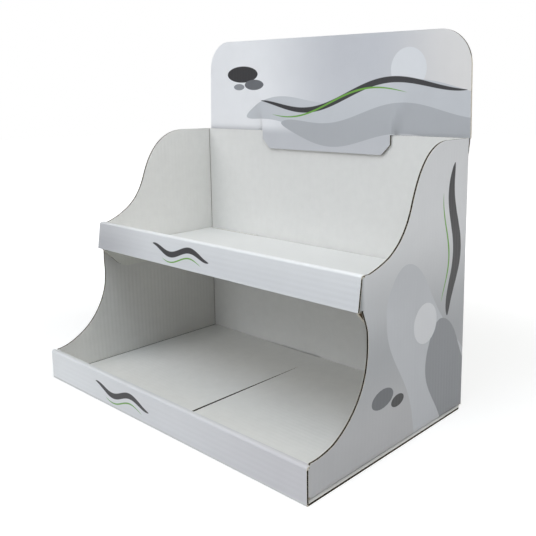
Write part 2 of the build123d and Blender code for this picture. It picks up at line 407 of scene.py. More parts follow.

# %% [markdown]
# ## Printed faces
# Header, side walls, fascia and lip share the same greys and one leaf green, so they look like one set. Each
# could be painted on its own flat drawing and unwrapped onto the board. Because every face lies square to an
# axis, it is simpler to place the shapes by two of the stand's own coordinates. The washes of the fascia and
# the lip are painted light and shade, not print: one end darker than the other, and the rolled top edge
# painted lighter on the fascia and darker on the lip.

# %% Printed faces
# Greys of the print, from the palest to charcoal, and one leaf green
PALE, SILVER, MIST, STEEL, SLATE, CHARCOAL, LEAF = (
    "#E4E5E8", "#CBCDD1", "#B4B6BA", "#97999D", "#6C6E72", "#333234", "#6FA83E"
)

header_print = printed("X", "Z", "#F6F6F8", [
    ("X", -150, 50, "#CDCED3", 1.0),
    ("X", 90, 235, "#E6E3E1", 1.0),
    ("Z", wall_height + 10, wall_height - 6, "#C9CACE", 1.0),
], [
    (PALE, dict(middle=150, level=424, reach=27, half=27)),
    (SILVER, dict(middle=110, level=372, reach=260, half=26, slope=0.05, swing=11, span=250, phase=0.4)),
    (MIST, dict(middle=140, level=352, reach=210, half=20, slope=0.04, swing=10, span=230, phase=1.6)),
    (CHARCOAL, dict(middle=60, level=392, reach=175, half=4.5, slope=0.1, swing=13, span=260, phase=0.2)),
    (LEAF, dict(middle=30, level=382, reach=120, half=1.6, slope=0.1, swing=13, span=260, phase=0.2)),
    (CHARCOAL, dict(middle=-158, level=424, reach=34, half=12.5)),
    (SLATE, dict(middle=-132, level=408, reach=21, half=8)),
    (STEEL, dict(middle=-166, level=405, reach=12, half=5)),
])
side_print = printed("Z", "Y", "#C2C2C4", [
    ("Z", 40, 120, "#B4B6B9", 1.0),
    ("Z", 110, 260, "#E6E7E9", 1.0),
], [
    (SILVER, dict(middle=20, level=250, reach=190, half=70, slope=-0.5, swing=9, span=170, phase=0.3)),
    (STEEL, dict(middle=10, level=280, reach=120, half=48, slope=-0.4, swing=7, span=130, phase=1.9)),
    (PALE, dict(middle=132, level=206, reach=24, half=24)),
    (CHARCOAL, dict(middle=222, level=262, reach=92, half=10, swing=9, span=150, phase=2.2)),
    (LEAF, dict(middle=215, level=243, reach=66, half=1.7, swing=9, span=150, phase=2.2)),
    (SLATE, dict(middle=70, level=120, reach=11, half=21)),
    (CHARCOAL, dict(middle=58, level=150, reach=7, half=13)),
])
fascia_print_and_painted_light = printed("X", "Z", "#BCBCBF", [
    # painted shade: the fascia darker towards its left end
    ("X", -235, -95, "#DEDFE1", 1.0),
    # painted light: the fascia lighter towards its top
    ("Z", fascia_low + 8, fascia_top - 3, "#FFFFFF", 0.2),
    # painted highlight along the fascia's rolled top edge
    ("Z", fascia_top - 2.4, fascia_top - 0.6, "#FFFFFF", 0.35),
], [
    (CHARCOAL, dict(middle=-52, level=194, reach=58, half=4.2, swing=5, span=78, phase=0.0)),
    (LEAF, dict(middle=-48, level=184, reach=40, half=1.2, swing=5, span=78, phase=0.3)),
])
lip_print_and_painted_shade = printed("X", "Z", "#F4F5F6", [
    # painted shade: the lip darker towards its right end
    ("X", -240, 0, "#E6E6E8", 1.0),
    ("X", 0, 240, "#D9D7DA", 1.0),
    # painted shade along the lip's rolled top edge
    ("Z", lip_height - 3.2, lip_height - 0.8, "#8F9094", 0.2),
], [
    (CHARCOAL, dict(middle=-72, level=22, reach=58, half=4.2, swing=5, span=78, phase=0.0)),
    (LEAF, dict(middle=-68, level=12, reach=40, half=1.2, swing=5, span=78, phase=0.3)),
])
# Offset print on clay-coated liner: the film of ink is smoother than the bare coating, with a satin sheen
printed_header = paper("printed_header_liner", header_print, 0.45, cloud=25.0, fibre=0.5, spread=0.02)
printed_side = paper("printed_side_liner", side_print, 0.45, cloud=25.0, fibre=0.5, spread=0.02)
fascia_paper_printed_and_painted_light = paper("fascia_liner_printed_and_painted_light", fascia_print_and_painted_light, 0.48, cloud=25.0, fibre=0.5, spread=0.015)
lip_paper_printed_and_painted_shade = paper("lip_liner_printed_and_painted_shade", lip_print_and_painted_shade, 0.48, cloud=25.0, fibre=0.5, spread=0.015)
print("prints:", [made.name for made in (printed_header, printed_side, fascia_paper_printed_and_painted_light, lip_paper_printed_and_painted_shade)])

# %% [markdown]
# ## Fold lines
# Each blank is a flat board bent along creases. A flat mesh could be bent with modifiers, but a line is
# easier to check. It is worked out by its heading: straight runs keep it, creases turn it evenly, and
# adding up short steps in that heading gives the line. Beside a crease the flutes are crushed flat, and
# inside it the liner is pressed in, so the line also tells where it bends and where it is crushed.

# %% Fold lines
flute_pitch = 6.4
flute_step = flute_pitch / 8
crush_run = 1.2        # board beside a crease over which the crushed flutes rise again
crease_steps = 9       # points on a crease
fine_step = 0.05       # short steps that are added up
least_step = 0.02      # points nearer than this to the next are left out


def fold_line(corners, radius=crease, step=flute_step):
    """Centre line of a board folded at its inner corners: distance, points, heading, bend, crushed share.

    The heading is constant on a straight run and changes evenly with distance on a crease. The points are
    the running sum of short moves in that heading. The bend is half a sine wave over each crease, positive
    where the line turns left. The crushed share is 1 on a crease and falls to 0 beside it.
    """
    corners = np.array(corners, float)
    legs = np.diff(corners, axis=0)
    heading = np.unwrap(np.arctan2(legs[:, 1], legs[:, 0]))
    turn = np.diff(heading)
    radius = np.broadcast_to(radius, turn.shape)
    cut = radius * np.tan(np.abs(turn) / 2)
    runs = np.linalg.norm(legs, axis=1)
    runs[:-1] -= cut
    runs[1:] -= cut
    spans = np.zeros(2 * len(legs) - 1)
    spans[0::2] = runs
    spans[1::2] = radius * np.abs(turn)
    marks = np.concatenate([[0], np.cumsum(spans)])
    bearing = np.repeat(heading, 2)
    fine = np.linspace(0, marks[-1], int(marks[-1] / fine_step) + 2)
    angle = np.interp(fine, marks, bearing)
    pace = np.stack([np.cos(angle), np.sin(angle)], 1)
    moves = (pace[1:] + pace[:-1]) / 2 * np.diff(fine)[:, None]
    track = corners[0] + np.concatenate([[[0, 0]], np.cumsum(moves, axis=0)])
    starts, ends = marks[1:-1:2], marks[2::2]
    arcs = np.linspace(starts, ends, crease_steps).ravel()
    distance = np.unique(np.concatenate([np.arange(0, marks[-1], step), arcs, marks]).round(3))
    distance = distance[np.append(np.diff(distance) > least_step, True)]
    share = np.clip((distance[:, None] - starts) / (ends - starts), 0, 1)
    beside = np.maximum(np.maximum(starts - distance[:, None], distance[:, None] - ends), 0).min(axis=1)
    return SimpleNamespace(
        distance=distance,
        points=np.stack([np.interp(distance, fine, track[:, k]) for k in (0, 1)], 1),
        heading=np.interp(distance, marks, bearing),
        bend=(np.sin(np.pi * share) * np.sign(turn)).sum(axis=1),
        crushed=np.clip(1 - beside / crush_run, 0, 1),
    )


def left_of(heading):
    """Unit direction to the left of a heading."""
    return np.stack([-np.sin(heading), np.cos(heading)], 1)


def rows_between(levels, cells):
    """Rows of a grid: each stretch from one level to the next is shared evenly into its number of cells."""
    count = max(np.size(level) for level in levels)
    levels = [np.broadcast_to(np.asarray(level, float), (count,)) for level in levels]
    rows = [levels[0][:, None]]
    for low, high, number in zip(levels[:-1], levels[1:], cells):
        share = np.arange(1, number + 1) / number
        rows.append(low[:, None] + (high - low)[:, None] * share)
    return np.concatenate(rows, axis=1)


test_fold = fold_line([(0, 0), (50, 0), (50, 50)])
print(f"a square fold of 50 + 50 mm is {test_fold.distance[-1]:.2f} mm long")

# %% [markdown]
# ## Corrugated board
# The board is B-flute: two liners of thick paper with a wavy sheet between them. A cut across the flutes
# shows the wave, a cut along them shows one long dark hollow. A solid slab with a painted edge would do
# from far off, but cut edges show all over this stand, so each sheet is made as a closed slab of its own.
# The flutes also show through the liners as a faint washboard, less so through the stiffer coated one.

# %% Liners and fluting
liner = 0.36            # drawn a little thick, so that its pale line shows beside the dark hollows
flute_paper = 0.26
washboard = 0.09, 0.16  # how far the stiff coated liner and the thin plain one sink between two flute tips
score_depth = 1.15      # how far the liner on the inside of a crease is pressed in
FACE, BACK, CUT, FLUTE_IN_SHADE, PLAIN, WAVE = range(6)   # a piece's own two papers, then those that all share


def slab(base, normal, low, high, slots):
    """Closed slab between base + low * normal and base + high * normal: points, quads and their slots.

    The slots are those of the upper face, the lower face and the rim. A face's slot may differ by cell.
    """
    rows, columns = base.shape[:2]
    count = rows * columns
    grid = np.arange(count).reshape(rows, columns)
    points = np.concatenate([(base + normal * low).reshape(-1, 3), (base + normal * high).reshape(-1, 3)])
    cell = np.stack([grid[:-1, :-1], grid[1:, :-1], grid[1:, 1:], grid[:-1, 1:]], -1).reshape(-1, 4)
    rim = np.concatenate([grid[:, 0], grid[-1, 1:], grid[-2::-1, -1], grid[0, -2:0:-1]])
    ahead = np.roll(rim, -1)
    side = np.stack([rim, ahead, ahead + count, rim + count], -1)
    quads = np.concatenate([cell + count, cell[:, ::-1], side])
    across = np.cross(base[1:, :-1] - base[:-1, :-1], base[:-1, 1:] - base[:-1, :-1])
    if np.sum(across * normal[:-1, :-1]) < 0:
        quads = quads[:, ::-1]
    upper, lower, edge = slots
    faces = [np.broadcast_to(kind, (rows - 1, columns - 1)).ravel() for kind in (upper, lower)]
    return points, quads, np.concatenate([*faces, np.full(len(side), edge)])


def corrugated(base, normal, distance, bend=0.0, crushed=0.0, face=FACE, back=BACK):
    """A board of two liners and a fluting, about a grid whose first index runs across the flutes.

    The fluting's offset is a cosine of the distance, as high as the liners leave room, and flat where the
    board is crushed. A liner sinks by the washboard depth where the fluting is away from it, and by the
    score depth on the inside of a bend. The bend and the crushed share have a value per column or per row.
    """
    normal = np.broadcast_to(normal, base.shape)
    ripple = np.cos(2 * np.pi * distance / flute_pitch)[:, None, None]
    bend = np.asarray(bend)[..., None]
    loose = 1 - np.asarray(crushed)[..., None]
    half_paper = flute_paper / 2
    hollow = half_paper + (board / 2 - liner - half_paper) * loose
    wave = ripple * (hollow - half_paper)
    upper_sink, lower_sink = (depth * loose / 2 for depth in washboard)
    upper = board / 2 - upper_sink * (1 - ripple) - score_depth * np.maximum(bend, 0)
    lower = -board / 2 + lower_sink * (1 + ripple) + score_depth * np.maximum(-bend, 0)
    return [
        slab(base, normal, hollow, upper, (face, FLUTE_IN_SHADE, CUT)),
        slab(base, normal, lower, -hollow, (FLUTE_IN_SHADE, back, CUT)),
        slab(base, normal, wave - half_paper, wave + half_paper, (FLUTE_IN_SHADE, FLUTE_IN_SHADE, WAVE)),
    ]


def mirrored(sheets):
    """The same sheets on the other side of the stand, with their quads turned to face out again."""
    return [(points * [-1, 1, 1], quads[:, ::-1], slots) for points, quads, slots in sheets]


def count_quads(sheets):
    """Number of quads in all the sheets together."""
    return sum(len(quads) for _, quads, _ in sheets)


print(f"between the liners {board - 2 * liner:.2f} mm are left for the flutes")

# %% [markdown]
# ## From sheets to a piece
# A blank is one piece of card, so its sheets become one mesh object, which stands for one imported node.
# Blender could join separate objects, but stacking their arrays first is quicker and keeps the order
# plain. Points turn from millimetres into the frame's metres here, and edges sharper than 30 degrees stay
# crisp.

# %% One piece of card
SHARP = radians(30)
shared_papers = cut_liner, fluting_in_painted_shade, coated_liner, cut_fluting


def make_piece(name, cad_node, sheets, face, back):
    """One mesh object from sheets of quads, in the frame's metres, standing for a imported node."""
    starts = np.cumsum([0] + [len(points) for points, _, _ in sheets[:-1]])
    points = np.concatenate([points for points, _, _ in sheets])
    quads = np.concatenate([quads + start for (_, quads, _), start in zip(sheets, starts)])
    slots = np.concatenate([slots for _, _, slots in sheets])
    mesh = bpy.data.meshes.new(name)
    mesh.from_pydata(((points + [0, lip_front, 0]) * MM).tolist(), [], quads.tolist())
    mesh.polygons.foreach_set("material_index", slots.astype(np.int32))
    mesh.polygons.foreach_set("use_smooth", np.ones(len(quads), bool))
    mesh.set_sharp_from_angle(angle=SHARP)
    for material in (face, back, *shared_papers):
        mesh.materials.append(material)
    piece = bpy.data.objects.new(name, mesh)
    bpy.context.scene.collection.objects.link(piece)
    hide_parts(cad_node)
    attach(piece, "root")
    print(f"{name}: {2 * len(quads)} triangles")


print("papers that all pieces share:", [made.name for made in shared_papers])

# %% [markdown]
# ## Outlines of the side walls
# The side walls have two sweeps cut in their front edges: below the shelf nearly a quarter of an ellipse
# under a long arc, above it an S of two curves. An outline could be drawn as a curve and filled. Here
# each one is a height for every y instead, because the flutes run up and the walls' grids can then run up
# with them.

# %% Outlines of a side wall
lip_inner_back = 2 * layer + board
fascia_front = 85.3
fascia_fold = fascia_front + layer
flap_low = fascia_low + clearance
sweep_hollow, sweep_head = 3.4, 38.9   # lower sweep's deepest point: behind the fascia, below its flap
toe_power = 1.8                        # 2 would be an ellipse
step_drop, step_run = 1.2, 10.2        # level step behind the fascia: below its top, behind its fold
wall_top_flat = 54.0                   # straight top edge in front of the back corner

sweep_low = lip_height - clearance
sweep_mid = flap_low - sweep_head
sweep_back = fascia_fold + sweep_hollow
step_z = fascia_top - step_drop
step_back = fascia_fold + step_run
top_front = stand_depth - wall_top_flat


def lower_sweep(y):
    """Height of the wall's toe, up to the sweep's deepest point: a quarter ellipse with another power.

    It falls short of the deepest point by the whole rise times the root of 1 - share to the toe's power.
    """
    share = np.clip((y - lip_inner_back) / (sweep_back - lip_inner_back), 0, 1)
    return sweep_mid - (sweep_mid - sweep_low) * np.sqrt(1 - share ** toe_power)


def under_fascia(y):
    """Height of the arc from the sweep's deepest point forward to the fascia.

    An arc that rises by a and sets back by b has the radius (a squared + b squared) / 2b.
    """
    rise, run = flap_low - sweep_mid, sweep_back - fascia_fold
    radius = (rise ** 2 + run ** 2) / (2 * run)
    return sweep_mid + np.sqrt(np.maximum(radius ** 2 - (y - sweep_back + radius) ** 2, 0))


def bezier(p0, p1, p2, p3, share):
    """Cubic curve by its four handles, weighted (1-t)^3, 3t(1-t)^2, 3t^2(1-t) and t^3."""
    t = share[:, None]
    handles = (np.array(p, float) for p in (p0, p1, p2, p3))
    weights = ((1 - t) ** 3, 3 * t * (1 - t) ** 2, 3 * t ** 2 * (1 - t), t ** 3)
    return sum(weight * handle for weight, handle in zip(weights, handles))


# Reach of the S curve's handles along y and z, at its top, middle and foot
crown_pull, waist_pull, foot_pull = (42.8, 0.0), (10.7, 31.0), (42.8, 12.9)
waist_lead = 2.6       # how far its middle lies in front of half way
curve_steps = 200


def upper_sweep(y):
    """Height of the wall's upper edge: a level step, an S of two cubic curves, a level top."""
    share = np.linspace(0, 1, curve_steps)
    foot = np.array([step_back, step_z])
    crown = np.array([top_front, wall_height])
    waist = (foot + crown) / 2 - [waist_lead, 0]
    rising = bezier(foot, foot + foot_pull, waist - waist_pull, waist, share)
    easing = bezier(waist, waist + waist_pull, crown - crown_pull, crown, share)
    curve = np.concatenate([rising, easing[1:]])
    return np.interp(y, curve[:, 0], curve[:, 1])


print("sweeps at y = 60 and 150 mm:", lower_sweep(60.0).round(1), upper_sweep(150.0).round(1), "mm high")

# %% [markdown]
# ## Spring of the side walls
# The walls are held only at the back corners, the shelf and the base, so their free edges spring outward
# by a few millimetres. A cloth or bending simulation could find that shape. A sine of the height that
# fades towards whatever holds the wall looks the same and takes no time.

# %% Spring of the side walls
corner_back = stand_depth - 12.0          # where the grid of a side wall meets the grid of the back wall
upper_spring, lower_spring = 5.8, 5.0     # most that a wall stands out in the upper and the lower tier
upper_start, upper_rise = fascia_low - 9, 110.0
lower_rise = 100.0
corner_fade, fascia_fade, fade_power = 110.0, 36.0, 0.8
flap_play, flap_fade, lip_fade = 2.0, 22.0, 30.0


def spring(y, z):
    """How far a side wall stands out: the sum of a spring in the upper and one in the lower tier.

    The upper one is a quarter sine wave of the height above its start, times a power of the share that is
    free, which fades to 0 at the back corner and at the fascia. The lower one is a quarter sine wave of
    the height, fading out below the fascia's flap, times a share that fades to 0 behind the sweep and at
    the lip.
    """
    rise = np.clip((z - upper_start) / upper_rise, 0, 1)
    free = np.clip((corner_back - y) / corner_fade, 0, 1) * np.clip((y - sweep_back) / fascia_fade, 0, 1)
    upper = upper_spring * np.sin(np.pi / 2 * rise) * free ** fade_power
    height = np.sin(np.pi / 2 * np.clip(z / lower_rise, 0, 1))
    height = height * np.clip((flap_low + flap_play - z) / flap_fade, 0, 1)
    free = np.clip((2 * sweep_back - y) / sweep_back, 0, 1) * np.clip((y - lip_inner_back) / lip_fade, 0, 1)
    return upper + lower_spring * height * free


print("spring beside each sweep:", spring(150.0, 270.0).round(1), spring(60.0, 70.0).round(1), "mm")

# %% [markdown]
# ## Back wall
# Back wall, side walls and floor flaps are one blank, folded upright at two corners, flutes running up.
# Its plan is a fold line, and every column of the grid runs up from the lower outline to the upper one.
# The back wall is flat, so one row of cells is enough. The middle of each corner's inside is given the brown
# of the cut fluting, as painted shade in the crease, and the foot is cut a little short on the left of the
# floor's slit.

# %% Back wall
floor_top = layer + board
floor_back = back_inner - end_play
wall_foot = layer + crease_flat
corner_crease = 2.2
corner_shade_from = 0.95    # bend above which the inside of a corner is painted brown, as shade in the crease
side_on = 0.7          # how far a crease faces sideways where the side's print begins


def upright_board(points, heading, levels, cells, outward):
    """Board standing on a plan line: the grid's columns run up through the given levels."""
    rows = rows_between(levels, cells)
    base = np.empty((*rows.shape, 3))
    base[..., :2] = points[:, None, :]
    base[..., 2] = rows
    normal = np.zeros((len(points), 1, 3))
    normal[:, 0, :2] = outward * left_of(heading)
    return base, normal


def back_wall_sheets():
    """Back wall with its two corner creases, its foot rising evenly by a little where it is short."""
    short_from, short_to, short_by = -110.0, 3.0, 1.8
    rear = stand_depth - board / 2
    fold = fold_line([
        (wall_mid, corner_back), (wall_mid, rear), (-wall_mid, rear), (-wall_mid, corner_back)
    ], radius=corner_crease)
    foot = np.where(fold.points[:, 1] < floor_back, wall_foot, layer)
    x = fold.points[:, 0]
    short = (x > short_from) & (x < short_to) & (foot == layer)
    foot = np.where(short, floor_top + short_by * (x - short_from) / (short_to - short_from), foot)
    base, normal = upright_board(fold.points, fold.heading, [foot, wall_height], [1], -1)
    on_side = np.abs(normal[:-1, 0, 0]) > side_on
    # Painted shade: the inside of each corner, where it bends most, takes the cut fluting's brown
    corner_in_shade = fold.bend[:-1] > corner_shade_from
    return corrugated(
        base, normal, fold.distance, -fold.bend[:, None], fold.crushed[:, None],
        face=np.where(on_side, FACE, PLAIN)[:, None],
        back=np.where(corner_in_shade, WAVE, BACK)[:, None],
    )


back_wall = back_wall_sheets()
print("back wall:", count_quads(back_wall), "quads")

# %% [markdown]
# ## Side walls
# A side wall could be one outline with the sweeps cut out, but its columns would then start and stop at
# odd places. It is made as four grids that meet at the sweep's deepest point and at the fascia: the wall
# behind them, the toe with its lip flap, a shoulder under the fascia, and the flap inside the fascia. The
# left wall is the right one mirrored, as it is on the blank.

# %% Side walls
floor_front = layer + crease_flat
BACKWARD = np.pi / 2   # heading of a wall that runs straight back


def sprung(base):
    """Moves the points of a right side wall outward by its spring, and leaves those of its flaps."""
    rounding = 0.01
    on_wall = base[..., 0] > wall_mid - rounding
    base[..., 0] += np.where(on_wall, spring(base[..., 1], base[..., 2]), 0)
    return base


def side_wall_sheets():
    """Right side wall behind the sweeps' deepest point."""
    y = np.append(np.arange(sweep_back, corner_back, flute_step), corner_back)
    points = np.stack([np.full_like(y, wall_mid), y], 1)
    levels = [wall_foot, sweep_mid, flap_low, upper_sweep(y)]
    base, normal = upright_board(points, np.full_like(y, BACKWARD), levels, [4, 4, 6], -1)
    return corrugated(sprung(base), normal, y - sweep_back)


def toe_sheets():
    """Right side wall in front of the sweep's deepest point, with the lip flap turned in from it."""
    lip_flap_length = 75.0
    flap_mid = layer + board / 2
    fold = fold_line([
        (wall_mid, sweep_back), (wall_mid, flap_mid), (wall_half - lip_flap_length, flap_mid)
    ])
    y = fold.points[:, 1]
    crown = np.where(y > floor_front, lower_sweep(y), lip_height - layer)
    base, normal = upright_board(fold.points, fold.heading, [wall_foot, crown], [4], 1)
    return corrugated(sprung(base), normal, fold.distance, fold.bend[:, None], fold.crushed[:, None])


def shoulder_sheets():
    """Sliver of the right side wall between the arc and the fascia's flap."""
    start_gap = 0.1
    y = np.linspace(fascia_fold + start_gap, sweep_back, 10)
    points = np.stack([np.full_like(y, wall_mid), y], 1)
    base, normal = upright_board(points, np.full_like(y, BACKWARD), [under_fascia(y), flap_low], [4], -1)
    return corrugated(sprung(base), normal, y - sweep_back)


def fascia_flap_sheets():
    """Flap turned in from the right side wall and trapped in the fascia."""
    fascia_flap_length = 60.0
    flap_mid = fascia_fold + board / 2
    fold = fold_line([
        (wall_mid, sweep_back), (wall_mid, flap_mid), (wall_half - fascia_flap_length, flap_mid)
    ])
    crown = np.where(fold.points[:, 1] > fascia_fold + crease_flat, step_z, fascia_top - layer)
    base, normal = upright_board(fold.points, fold.heading, [flap_low, crown], [3], 1)
    return corrugated(sprung(base), normal, fold.distance, fold.bend[:, None], fold.crushed[:, None])


right_side = side_wall_sheets() + toe_sheets() + shoulder_sheets() + fascia_flap_sheets()
print("right side wall:", count_quads(right_side), "quads")

# %% [markdown]
# ## Floor flaps
# Two flaps folded in from the feet of the side walls make the floor. They meet in a slit that is open in front
# and closes before the back wall. Each flap is one grid: a few cells round the crease, then one long cell to
# the slit. Along the crease the liner takes the near-black paper of the hollows, as painted shade.

# %% Floor flaps
foot_crease = 1.9
foot_shade_from = 0.9       # bend above which the inside of the crease is painted dark, as shade
slit_middle, slit_front, slit_back = 2.0, 4.0, 0.06
slit_run = 0.84        # share of the floor's depth over which the slit closes


def floor_sheets(side):
    """One floor flap: a fold carried from front to back, and beyond it a flat run to the slit.

    The slit's width is its front width times the root of the share that is left ahead of its closed end.
    """
    slit_close = floor_front + slit_run * (floor_back - floor_front)
    y = np.append(np.arange(floor_front, floor_back, 2 * flute_step), floor_back)
    ahead = np.clip((slit_close - y) / (slit_close - floor_front), 0, 1)
    slit_half = np.maximum(slit_front * np.sqrt(ahead), slit_back) / 2
    floor_mid = layer + board / 2
    corners = [(wall_mid, wall_foot), (wall_mid, floor_mid), (0, floor_mid)]
    fold = fold_line(corners, foot_crease, step=2 * crush_run)
    keep = fold.points[:, 0] > wall_mid - crease - crease_flat
    base = np.empty((len(y), keep.sum() + 1, 3))
    base[..., 1] = y[:, None]
    base[:, :-1, 0] = fold.points[keep, 0]
    base[:, :-1, 2] = fold.points[keep, 1]
    base[:, -1, 0] = side * slit_middle + slit_half
    base[:, -1, 2] = floor_mid
    normal = np.zeros_like(base)
    normal[:, :-1, [0, 2]] = left_of(fold.heading[keep])
    normal[:, -1, 2] = -1
    bend = np.append(fold.bend[keep], 0)[None]
    crushed = np.append(fold.crushed[keep], 0)[None]
    # Painted shade: where the crease bends most, its inside takes the near-black paper of the hollows
    crease_in_shade = np.where(np.abs(bend[:, 1:]) > foot_shade_from, FLUTE_IN_SHADE, BACK)
    sheets = corrugated(base, normal, y, bend, crushed, back=crease_in_shade)
    return sheets if side > 0 else mirrored(sheets)


make_piece(
    "back_and_sides_board", "back_and_sides",
    back_wall + right_side + mirrored(right_side) + floor_sheets(1) + floor_sheets(-1),
    printed_side, white_liner,
)

# %% [markdown]
# ## Base tray
# The base lies under the floor flaps, a little wider than the walls. At the front it rises into the
# printed lip and rolls over behind it, at the back it ends in a glue flap. Its flutes run from side to
# side, so its folded section is carried straight across the stand, to a half width for each point: the
# roll fits between the walls, the base's rear corners are eased and the glue flap tapers. The lip's
# creases are sharp, and its top slopes in.

# %% Base tray
def carried_across(points, heading, half, outward, columns):
    """Board whose folded section, in y and z, is carried across the stand to each point's half width."""
    share = np.linspace(-1, 1, columns)
    base = np.empty((len(points), columns, 3))
    base[..., 0] = half[:, None] * share
    base[..., 1:] = points[:, None, :]
    normal = np.zeros((len(points), 1, 3))
    normal[:, 0, 1:] = outward * left_of(heading)
    return base, normal


def tray_sheets():
    """Glue flap, base, lip and its roll-over as one folded section."""
    ease_run, ease_depth, flap_slope = 11.0, 6.0, 25.0
    lip_tilt, lip_fold, lip_crease = 0.8, 0.5, 1.5
    rear_mid = stand_depth + clearance + board / 2
    roll_mid = 2 * layer + board / 2
    fold = fold_line([
        (rear_mid, glue_flap_height),
        (rear_mid, board / 2),
        (board / 2, board / 2),
        (board / 2, lip_height - board / 2),
        (roll_mid, lip_height - board / 2 - lip_tilt),
        (roll_mid, floor_top + clearance),
    ], radius=[crease, lip_fold, lip_crease, lip_crease])
    y, z = fold.points.T
    ease = ease_depth * np.clip((y - stand_depth + ease_run) / ease_run, 0, 1)
    flap_share = np.clip((z - crease_flat) / (glue_flap_height - crease_flat), 0, 1)
    slope = flap_slope * flap_share * (y > stand_depth)
    rolled = (z > layer) & (y > floor_front - clearance - board / 2) & (y < stand_depth / 2)
    half = np.where(rolled, panel_half, base_half - ease - slope)
    base, normal = carried_across(fold.points, fold.heading, half, outward=1, columns=7)
    in_front = (y[:-1] < floor_front) & (z[:-1] > layer)
    return corrugated(
        base, normal, fold.distance, fold.bend[:, None], fold.crushed[:, None],
        face=np.where(in_front, FACE, PLAIN)[:, None],
    )


make_piece("base_tray_board", "base_tray", tray_sheets(), lip_paper_printed_and_painted_shade, white_liner)

# %% [markdown]
# ## Shelf
# One blank, scored, rolled over at the front into the fascia and folded down behind into a flap. Like the
# base it is a folded section carried across the stand, because its flutes run that way too. The rear flap
# is narrower than the deck, so the deck's plain rear edge beside it is a small grid of its own.

# %% Deck, fascia and rear flap
deck_height = 176.0
deck_half = wall_half - board - clearance
deck_mid = deck_height - board / 2
deck_join = fascia_front + 2 * layer + board + crease_flat
fascia_toe = shelf_box[0, 1]
flap_end = back_inner - 24.0       # the side flaps stop short of the back wall
rear_half, rear_drop = 127.0, 30.0
rear_crease, roll_crease = 5.5, 2.0
rear_join = back_inner - crease_flat - clearance


def shelf_sheets():
    """Rear flap, deck, fascia and its roll-over as one folded section."""
    inner_mid = fascia_front + 2 * layer + board / 2
    rear_mid = back_inner - clearance - board / 2
    fold = fold_line([
        (rear_mid, deck_height - rear_drop),
        (rear_mid, deck_mid),
        (inner_mid, deck_mid),
        (inner_mid, fascia_top - board / 2),
        (fascia_front + board / 2, fascia_top - board / 2),
        (fascia_toe + board / 2, fascia_low),
    ], radius=[rear_crease, crease, roll_crease, roll_crease])
    y, z = fold.points.T
    half = np.where(y > rear_join, rear_half, panel_half)
    folded = (y > deck_join) & (y < flap_end)
    half = np.where(folded, deck_half - board / 2 - crease, half)
    front = y < fascia_fold + crease_flat - clearance - board / 2
    half = np.where(front, wall_half, half)
    base, normal = carried_across(fold.points, fold.heading, half, outward=-1, columns=5)
    return corrugated(
        base, normal, fold.distance, -fold.bend[:, None], fold.crushed[:, None],
        face=np.where(front[:-1], FACE, PLAIN)[:, None],
    )


def rear_edge_sheets():
    """The deck's plain rear edge on the right of the rear flap."""
    y = np.linspace(rear_join, floor_back, 6)
    base = np.empty((len(y), 2, 3))
    base[..., 0] = [rear_half, panel_half]
    base[..., 1] = y[:, None]
    base[..., 2] = deck_mid
    normal = np.zeros((len(y), 1, 3))
    normal[..., 2] = 1
    return corrugated(base, normal, y, face=PLAIN)


deck = shelf_sheets()
print("deck, fascia and rear flap:", count_quads(deck), "quads")

# %% [markdown]
# ## Side flaps of the shelf
# The shelf's side flaps fold down beside the deck and lie against the walls. They fold across the flutes, so
# they can't be part of the section and are grids of their own. Each toe, in front of the deck, is a crushed,
# flat board faced with the brown of the cut fluting.

# %% Side flaps of the shelf
flap_floor = shelf_box[0, 2]
flap_top = deck_height - crease_flat
flap_corner = 26.0
flap_slant = radians(45)
flap_swing = radians(1)            # the side flaps don't lie quite flat on the walls
toe_play, tip_gap = 1.8, 0.4       # from toe to fascia, and from the grid's start to the toe's sharp tip
flap_toe = fascia_toe + board + toe_play


def flap_outline(y):
    """Lower edge of a side flap: a 45 degree slant in front, rounded into a level edge, rounded behind."""
    bend = flap_toe + flap_top - flap_floor + flap_corner * np.tan(flap_slant / 2)
    tail = flap_end - flap_corner
    off = np.where(y < bend, bend - y, np.where(y > tail, y - tail, 0))
    rounded = flap_floor + flap_corner - np.sqrt(np.maximum(flap_corner ** 2 - off ** 2, 0))
    return np.where(y < bend - flap_corner * np.sin(flap_slant), flap_top - (y - flap_toe), rounded)


def side_flap_sheets():
    """Right side flap: a fold carried along the deck and down to the outline, and in front the crushed toe."""
    flap_mid = deck_half - board / 2
    y = np.append(np.arange(deck_join, flap_end, flute_step), flap_end)
    fold = fold_line([(flap_mid - crease, deck_mid), (flap_mid, deck_mid), (flap_mid, flap_top)])
    base = np.empty((len(y), len(fold.points) + 1, 3))
    base[..., 1] = y[:, None]
    base[:, :-1, 0] = fold.points[:, 0]
    base[:, :-1, 2] = fold.points[:, 1]
    base[:, -1, 0] = flap_mid - (flap_top - flap_outline(y)) * np.tan(flap_swing)
    base[:, -1, 2] = flap_outline(y)
    normal = np.zeros_like(base)
    normal[:, :-1, [0, 2]] = left_of(fold.heading)
    normal[:, -1, 0] = 1
    bend = np.append(fold.bend, 0)[None]
    crushed = np.append(fold.crushed, 0)[None]
    sheets = corrugated(base, normal, y, bend, crushed, face=PLAIN)
    y = np.linspace(flap_toe + tip_gap, deck_join, 16)
    points = np.stack([np.full_like(y, flap_mid), y], 1)
    base, normal = upright_board(points, np.full_like(y, BACKWARD), [flap_outline(y), flap_top], [1], -1)
    base[..., 0] -= (flap_top - base[..., 2]) * np.tan(flap_swing)
    return sheets + corrugated(base, normal, y, crushed=np.ones((1, 1)), face=WAVE)


shelf_side = side_flap_sheets() + rear_edge_sheets()
make_piece(
    "shelf_board", "shelf",
    deck + shelf_side + mirrored(shelf_side),
    fascia_paper_printed_and_painted_light, under_liner,
)

